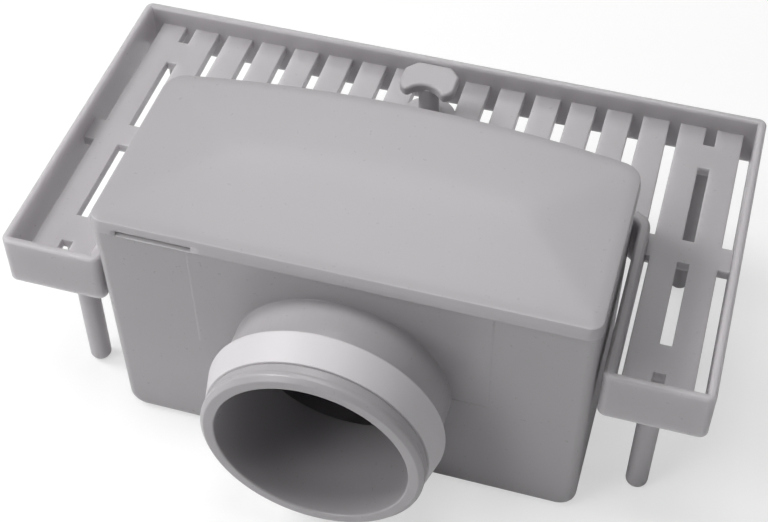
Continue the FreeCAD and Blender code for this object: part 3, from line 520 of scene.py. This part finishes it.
def cut_lever_slot(work, mouth):
    """Fills the opening in the lid's side with the walls of the lever slot, sharp at its lip."""
    cut = [mouth[0]]
    for inset, height in LEVER_CUT:
        cut.append([work.verts.new((v.co.x, (LID_FRONT + inset) * MM, height * MM))
                    for v in mouth[0]])
    cut.append(mouth[-1])
    for near, far in zip(cut, cut[1:]):
        for k in range(LEVER_STEPS):
            work.faces.new((near[k], near[k + 1], far[k + 1], far[k]))
    for k in (0, LEVER_STEPS):
        work.faces.new([row[k] for row in cut] + [row[k] for row in reversed(mouth[1:-1])])
    bmesh.ops.delete(work, geom=[v for row in mouth[1:-1] for v in row[1:-1]], context="VERTS")
    edged = {vertex for row in cut for vertex in row}
    for edge in work.edges:
        if edged.issuperset(edge.verts) and edge.calc_face_angle(0) > SHARP:
            edge.smooth = False


def fill_crown(work, border):
    """Hipped crown inside the lid's border, on a grid of points that keeps off its edge."""
    outline = lid_outline(CROWN_BORDER)
    inner = []
    for i in range(-CROWN_COLUMNS, CROWN_COLUMNS + 1):
        for j in range(CROWN_COLUMNS):
            x, y = i * CROWN_STEP, LID_FRONT + j * CROWN_STEP
            side, front, back = crown_room(x, y)
            if min(side, front, back) > CROWN_GAP and side + back > CROWN_CORNER_GAP:
                inner.append((x, y))
    count = len(border)
    points = [Vector(p) for p in outline + inner]
    loops = [(i, (i + 1) % count) for i in range(count)]
    placed, _, triangles, origins, _, _ = delaunay_2d_cdt(points, loops, [], 1, 1e-6)
    crown = []
    for index, point in enumerate(placed):
        source = origins[index][0]
        if source < count:
            crown.append(border[source])
        else:
            height = LID_TOP + crown_height(*point)
            crown.append(work.verts.new((point.x * MM, point.y * MM, height * MM)))
    for triangle in triangles:
        work.faces.new([crown[i] for i in triangle])


def make_lid():
    """The lid as rings from the inside of its skirt up to the border, closed by the crown."""
    work = bmesh.new()
    rings = []
    for inset, height in (*SKIRT, *lid_side(), *BORDER):
        rings.append([work.verts.new((x * MM, y * MM, height * MM))
                      for x, y in lid_outline(inset)])
    count = len(rings[0])
    slot_low, slot_high = (len(SKIRT) + SIDE_LEVELS.index(level) for level in LEVER_LEVELS)
    slot_end = count - LEVER_TAIL
    slot_start = slot_end - LEVER_STEPS
    for row, (low, high) in enumerate(zip(rings, rings[1:])):
        for i in range(count):
            j = (i + 1) % count
            if not (slot_low <= row < slot_high and slot_start <= i < slot_end):
                work.faces.new((low[i], low[j], high[j], high[i]))
    cut_lever_slot(work, [ring[slot_start:slot_end + 1] for ring in rings[slot_low:slot_high + 1]])
    work.faces.new(list(reversed(rings[0])))
    fill_crown(work, rings[-1])
    bmesh.ops.recalc_face_normals(work, faces=work.faces)
    place_piece("dressed_lid", mesh_from(work, "dressed_lid"), "trap_lid", grey)


make_lid()


# Floor, camera and light; lengths in metres, but lens and sensor in mm
FLOOR_HALF = 3.0
FLOOR_LIT = 0.88
FLOOR_SEEN = 0.97  # its colour where the camera looks at it
FLOOR_ROUGH = 0.9
FLOOR_SHINE = 0.1
FLOOR_GLOW = 1.1
GLOW_SHARE = 0.5  # how much of what the camera sees of the floor is glow
WORLD_LIGHT = 0.02
SENSOR_WIDTH = 36
FOCAL_LENGTH = 71.703
CAMERA_RANGE = (0.01, 20)
CAMERA_PLACE = (0.066479, -0.214156, 0.301678)
CAMERA_TURN = (
    (0.960144, -0.209609, 0.184898),
    (0.279494, 0.714084, -0.641847),
    (0.002504, 0.667943, 0.744208))
LAMP_AIM = (0, 0.01, 0.04)
LAMP_DISTANCE = 1.2


def make_floor():
    """Pale floor that takes the object's shadow and looks nearly white to the camera."""
    mesh = bpy.data.meshes.new("floor")
    half = FLOOR_HALF
    corners = [(-half, -half, 0), (half, -half, 0), (half, half, 0), (-half, half, 0)]
    mesh.from_pydata(corners, [], [(0, 1, 2, 3)])
    floor = bpy.data.objects.new("floor", mesh)
    bpy.context.scene.collection.objects.link(floor)
    mat = bpy.data.materials.new("floor_white")
    mat.use_nodes = True
    tree = mat.node_tree
    shader = tree.nodes["Principled BSDF"]
    seen = tree.nodes.new("ShaderNodeLightPath").outputs["Is Camera Ray"]
    shade = mix_colours(tree, seen, (FLOOR_LIT,) * 3, (FLOOR_SEEN,) * 3)
    tree.links.new(shade, shader.inputs["Base Color"])
    shader.inputs["Roughness"].default_value = FLOOR_ROUGH
    shader.inputs["Specular IOR Level"].default_value = FLOOR_SHINE
    glow = tree.nodes.new("ShaderNodeEmission")
    glow.inputs["Strength"].default_value = FLOOR_GLOW
    mix = tree.nodes.new("ShaderNodeMixShader")
    tree.links.new(map_range(tree, seen, 0, GLOW_SHARE), mix.inputs[0])
    tree.links.new(shader.outputs[0], mix.inputs[1])
    tree.links.new(glow.outputs[0], mix.inputs[2])
    tree.links.new(mix.outputs[0], tree.nodes["Material Output"].inputs["Surface"])
    mesh.materials.append(mat)


def make_camera():
    data = bpy.data.cameras.new("camera")
    data.sensor_width = SENSOR_WIDTH
    data.lens = FOCAL_LENGTH
    data.clip_start, data.clip_end = CAMERA_RANGE
    camera = bpy.data.objects.new("camera", data)
    bpy.context.scene.collection.objects.link(camera)
    camera.matrix_world = Matrix.Translation(CAMERA_PLACE) @ Matrix(CAMERA_TURN).to_4x4()
    bpy.context.scene.camera = camera


def lamp(name, azimuth, elevation, power, size):
    """An area lamp that looks at the object; azimuth 0 is in front of it and 90 to its right."""
    data = bpy.data.lights.new(name, "AREA")
    data.shape = "DISK"
    data.size = size
    data.energy = power
    lamp_object = bpy.data.objects.new(name, data)
    bpy.context.scene.collection.objects.link(lamp_object)
    a, e = math.radians(azimuth), math.radians(elevation)
    back = Vector((math.sin(a) * math.cos(e), -math.cos(a) * math.cos(e), math.sin(e)))
    lamp_object.location = Vector(LAMP_AIM) + back * LAMP_DISTANCE
    lamp_object.rotation_mode = "QUATERNION"
    lamp_object.rotation_quaternion = (-back).to_track_quat("-Z", "Y")


def make_world():
    """Hardly any light of its own, and white where the camera looks past the floor."""
    world = bpy.data.worlds.new("world")
    bpy.context.scene.world = world
    world.use_nodes = True
    tree = world.node_tree
    background = tree.nodes["Background"]
    background.inputs["Color"].default_value = (1, 1, 1, 1)
    seen = tree.nodes.new("ShaderNodeLightPath").outputs["Is Camera Ray"]
    tree.links.new(map_range(tree, seen, WORLD_LIGHT, 1.0), background.inputs["Strength"])


make_floor()
make_camera()
lamp("key_left", -90, 48, 7.4, 0.45)
lamp("key_front", -45, 50, 3.3, 0.45)
lamp("top", 0, 88, 3.3, 0.45)
lamp("low_front", -35, 18, 2.3, 0.5)
lamp("low_right", 50, 15, 0.3, 0.45)
lamp("rim_right", 90, 20, 0.9, 0.45)
lamp("sheen", -165, 48, 2.4, 0.6)  # shows the slopes of the lid's crown
make_world()

bpy.context.scene.view_settings.view_transform = "Standard"
